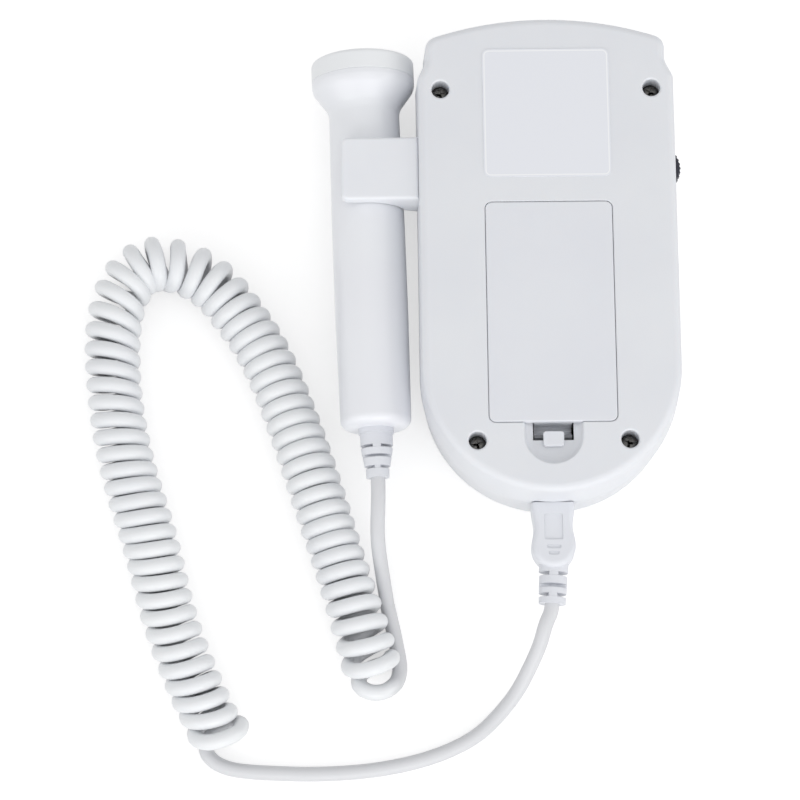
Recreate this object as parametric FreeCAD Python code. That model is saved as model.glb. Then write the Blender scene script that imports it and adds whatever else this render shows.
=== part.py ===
import FreeCAD, Part
import math
import os

# A hand-held fetal doppler monitor, lying on its front face. Millimetres.
# The origin is the middle of the front face, +Y runs to the top end and +Z out of the rear cover.

# Case
case_height = 34.0
parting_height = 18.5
half_width = 36.2
end_centre_y = -32.3
top_apex_y = 68.5
top_arc_radius = 100.0
neck_half_width = 33.95
neck_foot_y = 55.8
shoulder_y = 51.2
top_corner_radius = 4.0
shoulder_radius = 2.0
rear_draft = 0.45
front_draft = 1.4
rear_edge_radius = 2.2
front_edge_radius = 3.2
parting_groove = 0.22
wall = 2.2
lip_inset = 1.1
lip_height = 1.2
lip_play = 0.15

# Case screws and the posts that they join
screw_places = [(29.5, 47.3), (-29.5, 47.3), (20.9, -53.6), (-20.9, -53.6)]
counterbore_radius = 2.5
counterbore_flare = 0.4
screw_seat_height = 27.6
screw_clear_radius = 1.4
screw_pilot_radius = 1.25
screw_foot_height = 12.5
rear_post_radius = 4.6
front_post_radius = 3.6

# Battery bay for two AA cells side by side
door_half_width = 17.6
door_top_y = 14.3
door_foot_y = -48.5
door_thickness = 2.0
door_corner_radius = 2.0
door_gap = 0.15
door_flare = 0.2
ledge_depth = 2.0
ledge_width = 1.3
cell_radius = 7.25
cell_body_length = 49.2
cell_nub_radius = 2.75
cell_nub_length = 1.0
cell_spacing = 8.0
cell_axis_height = 24.2
bay_play = 0.2
bay_top_y = 11.8
bay_foot_y = -45.0
bay_wall = 1.6
tab_places = [-9.0, 9.0]
tab_half_width = 2.4
tab_reach = 2.1
contact_thickness = 0.4

# Finger recess and the latch of the battery door
recess_half_width = 8.0
recess_centre_y = -52.1
recess_depth = 3.0
recess_floor = 1.6
recess_round = 2.3
recess_flare = 0.35
slot_half_width = 5.6
slot_foot_y = -53.1
latch_half_width = 5.2
latch_outer_y = -52.2
latch_leg = 0.9
latch_shoulder_height = 29.8
latch_bend_height = 27.5
latch_bend_radius = 1.9
latch_gap = 0.3
pad_half_width = 2.85
pad_foot_y = -55.1
pad_top_y = -50.9
pad_height = 32.7
pad_thickness = 1.2

# Label on the rear cover
label_half_width = 17.7
label_foot_y = 21.55
label_top_y = 58.85
label_thickness = 0.15

# Front face: display, buttons and loudspeaker
window_half_width = 24.3
window_foot_y = 16.2
window_top_y = 51.8
window_depth = 1.5
window_thickness = 1.1
window_radius = 2.8
window_ledge = 2.0
button_places = {"power_button": 14.0, "mode_button": -14.0}
button_y = 2.0
button_radius = 5.75
button_sink = 0.4
button_gap = 0.4
button_travel = 0.6
speaker_y = -32.0
speaker_radius = 16.0
grille_radius = 13.0
grille_slot = 1.6
grille_pitch = 3.6
grille_half_count = 3

# Main board and what stands on it
board_foot = 10.0
board_thickness = 1.6
board_inset = 5.2
board_screw_places = [(28.0, 12.0), (-28.0, 12.0), (24.0, -24.0), (-24.0, -24.0), (0.0, 58.0)]
board_post_radius = 2.8

# Thumb wheel for the volume, in the right side
wheel_x = 31.3
wheel_y = 28.8
wheel_radius = 7.2
wheel_foot = 15.0
wheel_thickness = 2.6
wheel_teeth = 36
wheel_tooth_depth = 0.4
wheel_shaft_radius = 1.45
wheel_shaft_play = 0.05

# Earphone socket for a 3.5 mm plug, in the right side
jack_y = 4.0
jack_height = 14.1
jack_bore_radius = 1.8
jack_nose_radius = 3.0
jack_nose_x = 35.6
jack_body_x = 33.2
jack_back_x = 22.5

# Socket and plug of the probe's cord, in the bottom end
socket_height = 17.0
socket_face_y = -68.0
shell_half_width = 4.0
shell_half_height = 2.0
shell_length = 6.8
shell_wall = 0.5
shell_play = 0.15
plug_gap = 0.3
plug_waist_half_width = 5.33
plug_end_radius = 6.05
plug_end_centre = 12.1
plug_thickness = 9.4
plug_edge_radius = 1.6
plug_panel_depth = 0.3
relief_start = 16.8
plug_lean_deg = -3.6

# Probe: its axis leans by this much from the case's long side
probe_lean_deg = 1.426
probe_foot = FreeCAD.Vector(-48.48, -46.1, 17.3)
handle_foot_radius = 9.9
handle_mid_radius = 10.25
handle_neck_radius = 9.95
handle_length = 90.5
head_radius = 14.5
head_seam = 101.0
seam_groove = 0.18
head_length = 106.7
head_dome = 0.5
head_edge_radius = 1.2
probe_wall = 2.0
crystal_radius = 9.5

# Clip on the left side that holds the probe's handle
clip_bore_radius = 10.6
clip_left_x = -57.5
clip_foot_y = 16.3
clip_top_y = 34.4
clip_height = 31.2
clip_root_height = 18.5
clip_corner_radius = 1.6
clip_edge_radius = 0.9
jaw_thickness = 2.6
jaw_foot_y = 20.5
jaw_top_y = 32.5
jaw_end_deg = 222.0
clip_screw_places = [21.5, 29.5]
clip_screw_height = 25.6

# Cord: thin leads at both ends and a curly middle
lead_radius = 2.05
curl_radius = 7.9
main_lead_route = [
    (-0.67, -95.73, 17.0),
    (-0.8, -98.0, 17.0),
    (-2.6, -101.5, 16.4),
    (-4.0, -106.7, 13.6),
    (-6.8, -112.3, 9.6),
    (-10.1, -118.2, 5.8),
    (-14.9, -124.0, 3.2),
    (-22.1, -130.9, 2.2),
    (-34.7, -136.4, 2.1),
    (-50.2, -139.5, 2.1),
    (-66.1, -140.3, 2.1),
    (-79.4, -140.1, 2.1),
    (-87.4, -139.8, 2.1),
    (-93.4, -138.7, 2.1),
    (-96.5, -135.9, 2.1),
    (-97.1, -132.3, 2.1),
]
curl_route = [
    (-50.1, -112.4, 8.1),
    (-54.0, -98.7, 8.1),
    (-61.1, -75.2, 8.1),
    (-70.0, -46.4, 8.1),
    (-77.9, -24.7, 8.1),
    (-85.2, -12.2, 8.1),
    (-96.1, 1.9, 8.1),
    (-114.4, 6.3, 8.1),
    (-122.3, -8.9, 8.1),
    (-122.1, -31.7, 8.1),
    (-118.3, -54.1, 8.1),
    (-111.3, -75.8, 8.1),
    (-106.2, -98.4, 8.1),
    (-98.3, -118.7, 8.1),
    (-92.6, -129.3, 8.1),
]
probe_lead_route = [
    (-48.15, -59.2, 17.3),
    (-48.0, -65.0, 17.3),
    (-48.6, -75.9, 13.7),
    (-47.2, -85.4, 8.0),
    (-45.8, -95.0, 3.6),
    (-43.8, -103.6, 2.1),
    (-42.4, -110.5, 2.1),
    (-43.0, -116.2, 2.3),
    (-47.6, -120.4, 3.6),
    (-53.8, -118.6, 6.0),
    (-55.5, -113.9, 6.2),
]

up = FreeCAD.Vector(0, 0, 1)
along_x = FreeCAD.Vector(1, 0, 0)
along_y = FreeCAD.Vector(0, 1, 0)


def point(x, y, z=0.0):
    return FreeCAD.Vector(x, y, z)


def box(x0, x1, y0, y1, z0, z1):
    return Part.makeBox(x1 - x0, y1 - y0, z1 - z0, point(x0, y0, z0))


def rod(radius, start, direction, length):
    return Part.makeCylinder(radius, length, start, direction)


def join(shapes):
    return shapes[0].fuse(shapes[1:]).removeSplitter()


def corner(before, at, after, radius):
    """Start, middle and end of the arc that rounds a corner between two straight lines."""
    to_before = (before - at).normalize()
    to_after = (after - at).normalize()
    half = to_before.getAngle(to_after) / 2
    bisector = (to_before + to_after).normalize()
    reach = radius / math.tan(half)
    middle = at + bisector * (radius / math.sin(half) - radius)
    return at + to_before * reach, middle, at + to_after * reach


def round_polygon(points, radius):
    """A closed wire through the points with every corner rounded alike."""
    edges = []
    count = len(points)
    rounds = [corner(points[i - 1], points[i], points[(i + 1) % count], radius) for i in range(count)]
    for i in range(count):
        edges.append(Part.Arc(*rounds[i]).toShape())
        edges.append(Part.makeLine(rounds[i][2], rounds[(i + 1) % count][0]))
    return Part.Wire(edges)


def round_plate(x0, x1, y0, y1, z0, z1, radius):
    """A flat plate with rounded corners."""
    corners = [point(x0, y0, z0), point(x1, y0, z0), point(x1, y1, z0), point(x0, y1, z0)]
    return Part.Face(round_polygon(corners, radius)).extrude(up * (z1 - z0))


def turned(outline, axis_point, axis):
    """A full turn of a closed outline given as points and arcs."""
    return Part.Face(Part.Wire(outline)).revolve(axis_point, axis, 360)


def polygon_edges(points):
    return [Part.makeLine(points[i], points[i + 1]) for i in range(len(points) - 1)]


def level_edges(shape, height, tolerance=0.01):
    """The edges that lie flat at one height."""
    found = []
    for edge in shape.Edges:
        bounds = edge.BoundBox
        if abs(bounds.ZMin - height) < tolerance and abs(bounds.ZMax - height) < tolerance:
            found.append(edge)
    return found


def case_outline(inset, height):
    """The case's outline seen from the rear, moved inwards by inset: round foot, shoulders, arched top."""
    side = half_width - inset
    neck = neck_half_width - inset
    arc = top_arc_radius - inset
    arc_centre_y = top_apex_y - top_arc_radius
    round_radius = top_corner_radius - inset * 0.5
    round_x = neck - round_radius
    round_y = arc_centre_y + math.sqrt((arc - round_radius) ** 2 - round_x ** 2)
    slope = math.atan2(round_x, round_y - arc_centre_y)
    arc_end = point(arc * math.sin(slope), arc_centre_y + arc * math.cos(slope), height)
    round_middle_angle = (math.pi / 2 - slope) / 2
    round_middle = point(
        round_x + round_radius * math.cos(round_middle_angle),
        round_y + round_radius * math.sin(round_middle_angle),
        height,
    )
    rise = neck_foot_y - shoulder_y
    run = half_width - neck_half_width
    normal_x = rise / math.hypot(rise, run)
    normal_y = run / math.hypot(rise, run)
    foot_y = shoulder_y + (-inset - (side - half_width) * normal_x) / normal_y
    head_y = shoulder_y + (-inset - (neck - half_width) * normal_x) / normal_y
    side_start = point(side, end_centre_y, height)
    shoulder = point(side, foot_y, height)
    neck_foot = point(neck, head_y, height)
    neck_head = point(neck, round_y, height)
    outer = corner(side_start, shoulder, neck_foot, max(shoulder_radius - inset, 0.5))
    inner = corner(shoulder, neck_foot, neck_head, shoulder_radius + inset)
    right = [
        Part.makeLine(side_start, outer[0]),
        Part.Arc(*outer).toShape(),
        Part.makeLine(outer[2], inner[0]),
        Part.Arc(*inner).toShape(),
        Part.makeLine(inner[2], neck_head),
        Part.Arc(neck_head, round_middle, arc_end).toShape(),
    ]
    left = [edge.mirror(point(0, 0), along_x) for edge in right]
    top = Part.Arc(arc_end, point(0, top_apex_y - inset, height), point(-arc_end.x, arc_end.y, height))
    foot_left = point(-side, end_centre_y, height)
    foot = Part.Arc(foot_left, point(0, end_centre_y - side, height), side_start)
    ordered = right + [top.toShape()] + left[::-1] + [foot.toShape()]
    return Part.Wire(Part.__sortEdges__(ordered))


def case_prism(inset, foot, top):
    return Part.Face(case_outline(inset, foot)).extrude(up * (top - foot))


def case_taper(foot_inset, foot, top_inset, top):
    return Part.makeLoft([case_outline(foot_inset, foot), case_outline(top_inset, top)], True, True)


def rear_block():
    """The rear half of the case as a solid block with its rounded rim."""
    block = case_taper(0, parting_height, rear_draft, case_height)
    return block.makeFillet(rear_edge_radius, level_edges(block, case_height))


def front_block():
    """The front half of the case as a solid block with its rounded rim."""
    block = case_taper(front_draft, 0, 0, parting_height)
    return block.makeFillet(front_edge_radius, level_edges(block, 0))


def flared_cut(outline, height, flare):
    """A rim that widens by the flare up to the height; outline is a function of growth and height."""
    rims = [outline(0, height - flare).Wires[0], outline(flare + 0.05, height + 0.05).Wires[0]]
    return Part.makeLoft(rims, True, True)


def with_groove(block):
    """Breaks the edge along the parting line, so that both covers show a fine groove."""
    return block.makeChamfer(parting_groove, level_edges(block, parting_height))


def lip_ring(play, height):
    """The ring of the joint between the two covers."""
    outer = case_prism(lip_inset + play, parting_height - 0.1, parting_height + height)
    return outer.cut(case_prism(wall + 0.2, parting_height - 1, parting_height + height + 1))


def recess_outline(grow, height):
    """The U of the finger recess, open towards the battery door."""
    side = recess_half_width + grow
    top = door_foot_y + 1.5
    edges = [
        Part.makeLine(point(-side, top, height), point(-side, recess_centre_y, height)),
        Part.Arc(
            point(-side, recess_centre_y, height),
            point(0, recess_centre_y - side, height),
            point(side, recess_centre_y, height),
        ).toShape(),
        Part.makeLine(point(side, recess_centre_y, height), point(side, top, height)),
        Part.makeLine(point(side, top, height), point(-side, top, height)),
    ]
    return Part.Face(Part.Wire(edges))


def recess_pocket():
    """The scooped hollow of the finger recess."""
    floor = case_height - recess_depth
    pocket = recess_outline(0, floor).extrude(up * (recess_depth + 1))
    rim = [edge for edge in level_edges(pocket, floor) if edge.BoundBox.YMin < door_foot_y]
    return pocket.makeFillet(recess_round, rim)


def door_outline(grow, height):
    side = door_half_width + door_gap + grow
    foot = door_foot_y - door_gap - grow
    top = door_top_y + door_gap + grow
    corners = [point(x, y, height) for x, y in ((-side, foot), (side, foot), (side, top), (-side, top))]
    return Part.Face(round_polygon(corners, door_corner_radius + grow))


def bay_hollow():
    """Room for two cells: two round troughs below and an open box above."""
    reach = cell_radius + bay_play
    start_y = bay_foot_y
    length = bay_top_y - bay_foot_y
    places = (-cell_spacing, cell_spacing)
    troughs = [rod(reach, point(x, start_y, cell_axis_height), along_y, length) for x in places]
    side = cell_spacing + reach
    upper = box(-side, side, start_y, bay_top_y, cell_axis_height, case_height)
    return [upper] + troughs


def rear_cover():
    hollow = case_taper(wall, parting_height, wall + rear_draft, case_height - wall)
    shell = with_groove(rear_block()).cut(hollow)
    side = cell_spacing + cell_radius + bay_play + bay_wall
    floor = cell_axis_height - cell_radius - bay_play - bay_wall
    door_floor = case_height - door_thickness
    tub = box(-side, side, bay_foot_y - bay_wall, bay_top_y + bay_wall, floor, door_floor)
    rim = door_half_width + ledge_width
    ledge = box(-rim, rim, door_foot_y - ledge_width, door_top_y + ledge_width, door_floor - ledge_depth, door_floor)
    recess_back = recess_outline(recess_floor, case_height - recess_depth - recess_floor)
    recess_back = recess_back.extrude(up * (recess_depth + recess_floor - wall + 0.5))
    posts = []
    for x, y in screw_places:
        posts.append(rod(rear_post_radius, point(x, y, parting_height), up, case_height - wall + 0.5 - parting_height))
    body = join([shell, tub, ledge, recess_back] + posts)
    opening = door_outline(0, door_floor).extrude(up * (door_thickness + 1))
    cuts = [opening, recess_pocket(), lip_ring(0, lip_height)] + bay_hollow()
    cuts.append(flared_cut(door_outline, case_height, door_flare))
    cuts.append(flared_cut(recess_outline, case_height, recess_flare))
    cuts.append(box(-slot_half_width, slot_half_width, slot_foot_y, door_foot_y + 1.2, floor, door_floor + 0.1))
    for x in tab_places:
        reach = tab_half_width + 0.4
        cuts.append(box(x - reach, x + reach, bay_top_y - 0.5, door_top_y + tab_reach + 1.2, 28.9, case_height - wall))
        cuts.append(box(x - reach, x + reach, bay_top_y - 0.5, door_top_y, case_height - wall - 0.1, door_floor + 0.1))
    for x, y in screw_places:
        cuts.append(rod(counterbore_radius, point(x, y, screw_seat_height), up, case_height))
        cuts.append(Part.makeCone(counterbore_radius, counterbore_radius + counterbore_flare, counterbore_flare,
                                  point(x, y, case_height - counterbore_flare)))
        cuts.append(rod(screw_clear_radius, point(x, y, parting_height - 1), up, case_height))
    for y in clip_screw_places:
        cuts.append(rod(1.15, point(-half_width - 1, y, clip_screw_height), along_x, wall + 2))
    cuts.append(socket_cut())
    return body.cut(cuts)


def socket_cut():
    """The flat round the probe socket and the hole for the plug's shell."""
    reach = plug_thickness / 2 + 0.3
    flat = box(-6.5, 6.5, socket_face_y - 3, socket_face_y, socket_height - reach, socket_height + reach)
    half_width_clear = shell_half_width + 0.3
    half_height_clear = shell_half_height + 0.3
    hole = box(
        -half_width_clear, half_width_clear, socket_face_y - 1, socket_face_y + 4,
        socket_height - half_height_clear, socket_height + half_height_clear,
    )
    return flat.fuse(hole)


def grille_slots():
    """Rows of slots with round ends inside a circle."""
    slots = []
    for row in range(-grille_half_count, grille_half_count + 1):
        offset = row * grille_pitch
        reach = math.sqrt(grille_radius ** 2 - offset ** 2)
        y = speaker_y + offset
        half = grille_slot / 2
        slots.append(round_plate(-reach, reach, y - half, y + half, -1, wall + 1, half * 0.98))
    return slots


def front_cover():
    shell = with_groove(front_block()).cut(case_taper(front_draft + wall, wall, wall, parting_height))
    tongue = lip_ring(lip_play, lip_height - 0.2)
    posts = []
    for x, y in screw_places:
        posts.append(rod(front_post_radius, point(x, y, wall - 0.5), up, parting_height - wall + 0.5))
    for x, y in board_screw_places:
        posts.append(rod(board_post_radius, point(x, y, wall - 0.5), up, board_foot - wall + 0.5))
    seat = rod(speaker_radius + 1.7, point(0, speaker_y, wall - 0.5), up, 3.5)
    seat = seat.cut(rod(speaker_radius + 0.3, point(0, speaker_y, wall - 1), up, 6))
    body = join([shell, tongue, seat] + posts)
    cuts = grille_slots()
    for x, y in screw_places:
        cuts.append(rod(screw_pilot_radius, point(x, y, screw_foot_height - 0.5), up, case_height))
    for x, y in board_screw_places:
        cuts.append(rod(0.9, point(x, y, wall + 2), up, board_foot))
    side = window_half_width + 0.2
    cuts.append(
        round_plate(-side, side, window_foot_y - 0.2, window_top_y + 0.2, -1, window_depth, window_radius + 0.2)
    )
    view = window_half_width - window_ledge
    cuts.append(box(-view, view, window_foot_y + window_ledge, window_top_y - window_ledge, 0, wall + 1))
    for x in button_places.values():
        cuts.append(rod(button_radius + button_gap, point(x, button_y, -1), up, wall + 2))
    notch_foot = wheel_foot - 0.4
    cuts.append(box(wheel_x - 3, half_width + 2, wheel_y - 7.5, wheel_y + 7.5, notch_foot, parting_height + 3))
    cuts.append(rod(jack_nose_radius + 0.2, point(jack_back_x, jack_y, jack_height), along_x, 20))
    cuts.append(socket_cut())
    return body.cut(cuts)


def battery_door():
    top = case_height
    foot = case_height - door_thickness
    panel = round_plate(
        -door_half_width, door_half_width, door_foot_y, door_top_y, foot, top, door_corner_radius - door_gap
    )
    panel = panel.makeFillet(0.35, level_edges(panel, top))
    pieces = [panel]
    for x in tab_places:
        left = x - tab_half_width
        right = x + tab_half_width
        pieces.append(box(left, right, bay_top_y + 0.4, door_top_y - 0.3, 30.7, foot + 0.2))
        pieces.append(box(left, right, bay_top_y + 0.4, door_top_y + tab_reach, 30.7, 31.5))
    inner_y = latch_outer_y + latch_leg / 2 + 2 * latch_bend_radius
    leg_half = 0.4
    pieces.append(
        box(-latch_half_width, latch_half_width, inner_y - leg_half, inner_y + leg_half, latch_bend_height, foot + 0.2)
    )
    bend_centre = point(-latch_half_width, inner_y - latch_bend_radius, latch_bend_height)
    bend = rod(latch_bend_radius + leg_half, bend_centre, along_x, 2 * latch_half_width)
    bend = bend.cut(rod(latch_bend_radius - leg_half, bend_centre, along_x, 2 * latch_half_width))
    below = box(-20, 20, -60, -40, latch_bend_height - 5, latch_bend_height)
    pieces.append(bend.common(below))
    return join(pieces)


def battery_door_latch():
    """The outer leg of the door's snap with its bar, nose and finger pad."""
    foot = latch_bend_height + latch_gap
    pad_foot = pad_height - pad_thickness
    outer_y = latch_outer_y + latch_leg
    leg = box(-latch_half_width, latch_half_width, latch_outer_y, outer_y, foot, latch_shoulder_height)
    neck = pad_half_width - 0.3
    stem = box(-neck, neck, latch_outer_y, outer_y, latch_shoulder_height - 0.2, pad_foot + 0.4)
    nose_points = [
        point(-latch_half_width, latch_outer_y, 28.3),
        point(-latch_half_width, latch_outer_y - 0.3, 29.1),
        point(-latch_half_width, latch_outer_y, 29.1),
        point(-latch_half_width, latch_outer_y, 28.3),
    ]
    nose = Part.Face(Part.makePolygon(nose_points)).extrude(along_x * (2 * latch_half_width))
    pad = round_plate(-pad_half_width, pad_half_width, pad_foot_y, pad_top_y, pad_foot, pad_height, 0.8)
    pad = pad.makeFillet(0.3, level_edges(pad, pad_height))
    return join([leg, stem, nose, pad])


def rear_label():
    return round_plate(
        -label_half_width, label_half_width, label_foot_y, label_top_y,
        case_height, case_height + label_thickness, 1.9,
    )


def case_screws():
    screws = []
    for x, y in screw_places:
        head = rod(2.2, point(x, y, screw_seat_height), up, 1.6)
        head = head.makeFillet(0.5, level_edges(head, screw_seat_height + 1.6))
        shank = rod(1.2, point(x, y, screw_foot_height), up, screw_seat_height - screw_foot_height)
        screws.append(head.fuse(shank))
    return Part.makeCompound(screws)


def cell(x, start_y, direction):
    """One AA cell from the flat end to the nub."""
    start = point(x, start_y, cell_axis_height)
    can = rod(cell_radius, start, along_y * direction, cell_body_length)
    can = can.makeFillet(0.5, [edge for edge in can.Edges if edge.BoundBox.YLength < 0.01])
    nub_start = start + along_y * (direction * (cell_body_length - 0.2))
    return can.fuse(rod(cell_nub_radius, nub_start, along_y * direction, cell_nub_length + 0.2))


def battery_cell_left():
    nub_y = bay_top_y - contact_thickness
    return cell(-cell_spacing, nub_y - cell_body_length - cell_nub_length, 1)


def battery_cell_right():
    nub_y = bay_foot_y + contact_thickness
    return cell(cell_spacing, nub_y + cell_body_length + cell_nub_length, -1)


def leaf_spring(x, base_y, direction):
    """A bent strip that presses on a cell's flat end."""
    reach = bay_top_y - bay_foot_y - 2 * contact_thickness - cell_body_length - cell_nub_length - 0.05
    foot = cell_axis_height - 4.5
    top = cell_axis_height + 4.5
    crown = base_y + direction * reach
    outer = Part.Arc(point(x, base_y, foot), point(x, crown, cell_axis_height), point(x, base_y, top)).toShape()
    inset = contact_thickness
    inner_crown = crown - direction * inset
    inner = Part.Arc(
        point(x, base_y, top - inset), point(x, inner_crown, cell_axis_height), point(x, base_y, foot + inset)
    ).toShape()
    ends = [
        Part.makeLine(point(x, base_y, top), point(x, base_y, top - inset)),
        Part.makeLine(point(x, base_y, foot + inset), point(x, base_y, foot)),
    ]
    strip = Part.Face(Part.Wire([outer, ends[0], inner, ends[1]])).extrude(along_x * 6)
    strip.translate(along_x * -3)
    return strip


def contact_plate(x, y):
    return box(x - 5, x + 5, y, y + contact_thickness, cell_axis_height - 5, cell_axis_height + 5)


def bridge_contact():
    """Joins the left cell's nub to the right cell's flat end at the top of the bay."""
    y = bay_top_y - contact_thickness
    foot = cell_axis_height
    strip = box(-cell_spacing, cell_spacing, y, bay_top_y, foot + 1, foot + 5)
    plates = [contact_plate(-cell_spacing, y), contact_plate(cell_spacing, y), strip]
    return join(plates + [leaf_spring(cell_spacing, y, -1)])


def negative_contact():
    y = bay_foot_y
    return join([contact_plate(-cell_spacing, y), leaf_spring(-cell_spacing, y + contact_thickness, 1)])


def positive_contact():
    return contact_plate(cell_spacing, bay_foot_y)


def main_board():
    board = case_prism(board_inset, board_foot, board_foot + board_thickness)
    top = board_foot + board_thickness
    chips = [box(-8, 6, 22, 36, top, top + 1.4), box(-24, -16, -8, 0, top, top + 1.6), box(8, 18, 44, 51, top, top + 1)]
    cuts = [rod(front_post_radius + 0.6, point(x, y, 0), up, 40) for x, y in screw_places]
    cuts += [rod(1.0, point(x, y, 0), up, 40) for x, y in board_screw_places]
    return join([board] + chips).cut(cuts)


def board_screws():
    screws = []
    top = board_foot + board_thickness
    for x, y in board_screw_places:
        head = rod(1.9, point(x, y, top), up, 1.2)
        screws.append(head.fuse(rod(0.85, point(x, y, wall + 3), up, top - wall - 3)))
    return Part.makeCompound(screws)


def lcd_module():
    glass = box(-22, 22, 18.6, 49.6, wall + 0.4, 5.4)
    backlight = round_plate(-23, 23, 17, 51, 5.4, board_foot, 1)
    return join([glass, backlight])


def display_window():
    foot = window_depth - window_thickness
    return round_plate(
        -window_half_width, window_half_width, window_foot_y, window_top_y, foot, window_depth, window_radius
    )


def button(x):
    """A round cap with a flange inside the cover and a stem to its switch."""
    cap = rod(button_radius, point(x, button_y, button_sink), up, wall + 0.4 - button_sink)
    cap = cap.makeFillet(0.8, level_edges(cap, button_sink))
    flange = rod(button_radius + 1.2, point(x, button_y, wall + 0.3), up, 1)
    stem = rod(2, point(x, button_y, wall + 1), up, 6.0 - wall - 1)
    return join([cap, flange, stem])


def button_switches():
    switches = []
    for x in button_places.values():
        body = box(x - 3, x + 3, button_y - 3, button_y + 3, 7.3, board_foot)
        switches.append(body.fuse(rod(1.6, point(x, button_y, 6.0 + button_travel + 0.1), up, 1)))
    return Part.makeCompound(switches)


def speaker():
    """Frame, paper cone and magnet in one turned body."""
    outline = [
        (0, 4.4), (4, 3.9), (13, 2.9), (14, 2.4), (speaker_radius, 2.4), (speaker_radius, 3.6),
        (14.5, 3.8), (9, 7.2), (7.5, 7.2), (7.5, 9.4), (0, 9.4), (0, 4.4),
    ]
    points = [point(x, speaker_y, z) for x, z in outline]
    return turned(polygon_edges(points), point(0, speaker_y), up)


def volume_wheel():
    """A knurled wheel on a short shaft."""
    points = []
    for i in range(2 * wheel_teeth + 1):
        angle = math.pi * i / wheel_teeth
        radius = wheel_radius - wheel_tooth_depth * (i % 2)
        points.append(point(wheel_x + radius * math.cos(angle), wheel_y + radius * math.sin(angle), wheel_foot))
    disc = Part.Face(Part.makePolygon(points)).extrude(up * wheel_thickness)
    rim = Part.makeCone(wheel_radius - 0.5, wheel_radius + wheel_thickness - 0.5, wheel_thickness,
                        point(wheel_x, wheel_y, wheel_foot))
    rim_top = Part.makeCone(wheel_radius + wheel_thickness - 0.5, wheel_radius - 0.5, wheel_thickness,
                            point(wheel_x, wheel_y, wheel_foot))
    disc = disc.common(rim).common(rim_top)
    shaft = rod(wheel_shaft_radius, point(wheel_x, wheel_y, 12.6), up, wheel_foot - 12.4)
    dimple = rod(4.6, point(wheel_x, wheel_y, wheel_foot + wheel_thickness - 0.5), up, 1)
    return disc.fuse(shaft).cut(dimple)


def volume_potentiometer():
    foot = board_foot + board_thickness
    body = box(25.6, 33.2, wheel_y - 5.5, wheel_y + 5.5, foot, wheel_foot - 0.4)
    return body.cut(rod(wheel_shaft_radius + wheel_shaft_play, point(wheel_x, wheel_y, foot + 0.8), up, 5))


def earphone_jack():
    foot = board_foot + board_thickness
    body = box(jack_back_x, jack_body_x, jack_y - 3.1, jack_y + 3.1, foot, 16.8)
    nose = rod(jack_nose_radius, point(jack_body_x - 0.5, jack_y, jack_height), along_x, jack_nose_x - jack_body_x + 0.5)
    bore = rod(jack_bore_radius, point(jack_back_x + 1, jack_y, jack_height), along_x, 20)
    return body.fuse(nose).cut(bore)


def probe_socket():
    """The board-mounted socket with its contact tongue."""
    front = -64.8
    side = shell_half_width + shell_play
    rise = shell_half_height + shell_play
    body = box(-6.2, 6.2, front, -54.5, board_foot + board_thickness, 20.6)
    hollow = box(-side, side, front - 1, -57, socket_height - rise, socket_height + rise)
    tongue = box(-2.8, 2.8, -64.4, -56.8, socket_height - 0.4, socket_height + 0.4)
    return body.cut(hollow).fuse(tongue)


def plug_start_y():
    return socket_face_y - plug_gap


def plug_shell():
    """The metal shell of the plug, open at its tip."""
    start = plug_start_y()
    tip = start + shell_length
    outer = box(
        -shell_half_width, shell_half_width, start, tip,
        socket_height - shell_half_height, socket_height + shell_half_height,
    )
    side = shell_half_width - shell_wall
    rise = shell_half_height - shell_wall
    return outer.cut(box(-side, side, start + 0.8, tip + 1, socket_height - rise, socket_height + rise))


def plug_side(side, foot):
    """One waisted side of the plug, ending square to the round end."""
    start = plug_start_y()
    places = [(5.95, 0.0), (5.9, 1.8), (plug_waist_half_width, 7.0), (plug_end_radius, plug_end_centre)]
    curve = Part.BSplineCurve()
    curve.interpolate(
        Points=[point(side * width, start - step, foot) for width, step in places],
        InitialTangent=point(0, -1, 0), FinalTangent=point(0, -1, 0),
    )
    return curve.toShape()


def plug_body():
    """The moulded grip of the plug: waisted sides, a round end, a sunk panel and two sunk bars."""
    start = plug_start_y()
    foot = socket_height - plug_thickness / 2
    top = foot + plug_thickness
    end_y = start - plug_end_centre
    end_arc = Part.Arc(
        point(plug_end_radius, end_y, foot), point(0, end_y - plug_end_radius, foot), point(-plug_end_radius, end_y, foot)
    )
    head = Part.makeLine(point(-5.95, start, foot), point(5.95, start, foot))
    outline = Part.Wire(Part.__sortEdges__([head, plug_side(1, foot), end_arc.toShape(), plug_side(-1, foot)]))
    body = Part.Face(outline).extrude(up * plug_thickness)
    rims = [edge for edge in level_edges(body, foot) + level_edges(body, top) if edge.BoundBox.YMin < start - 0.1]
    body = body.makeFillet(plug_edge_radius, rims)
    floor = top - plug_panel_depth
    cuts = [round_plate(-2.5, 2.5, start - 10.5, start - 3.4, floor, top + 1, 0.4)]
    for step, half in ((12.5, 1.9), (14.3, 1.4)):
        cuts.append(round_plate(-half, half, start - step - 0.5, start - step + 0.5, floor, top + 1, 0.45))
    return body.cut(cuts)


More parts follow.
